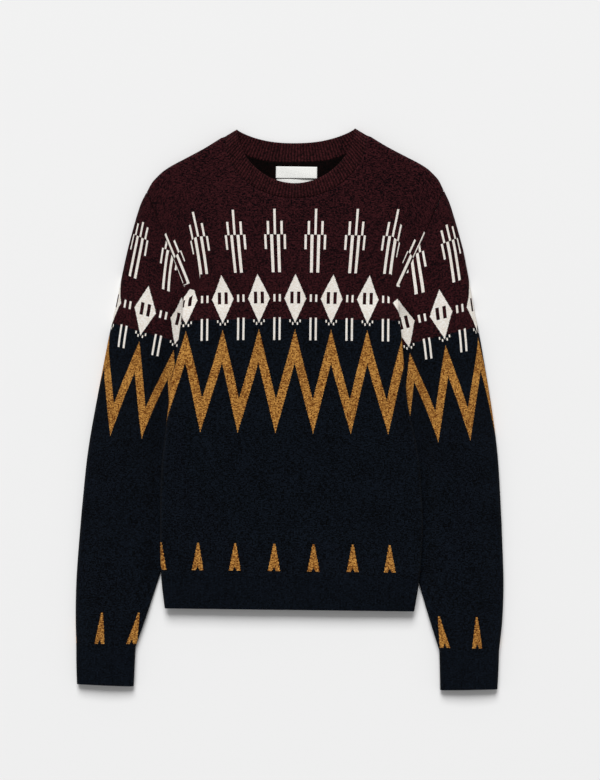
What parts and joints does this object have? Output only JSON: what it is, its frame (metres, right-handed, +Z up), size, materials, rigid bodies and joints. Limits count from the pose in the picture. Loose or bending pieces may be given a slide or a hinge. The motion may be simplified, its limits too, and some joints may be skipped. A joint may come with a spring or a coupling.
{
  "type": "fair isle jumper",
  "caption": "Crew-neck knitted jumper laid flat on its back, sides tucked under, with ribbed neck, hem and cuffs and long sleeves beside the body.",
  "frame": {"origin": "middle of the footprint, on the surface the jumper lies on", "axes": "+Z up out of the front of the jumper, +Y towards the neck, +X towards its left sleeve as it lies"},
  "size_m": [0.611, 0.7987, 0.0174],
  "materials": {
    "body_knit": "marled burgundy wool knit with navy, mustard and cream motifs",
    "sleeve_knit": "marled burgundy and navy wool knit with mustard and cream motifs",
    "neck_rib": "marled burgundy ribbed knit",
    "hem_rib": "dark navy ribbed knit",
    "cuff_rib": "dark navy ribbed knit",
    "label": "white woven satin tape, bare"
  },
  "bodies": {
    "root": {"front": "body_knit", "back": "body_knit", "side_tuck_left": "body_knit", "side_tuck_right": "body_knit", "sleeve_left": "sleeve_knit", "sleeve_right": "sleeve_knit", "neck_rib": "neck_rib", "hem_rib_front": "hem_rib", "hem_rib_back": "hem_rib", "cuff_left": "cuff_rib", "cuff_right": "cuff_rib", "label_main": "label", "label_care": "label"}
  },
  "joints": []
}
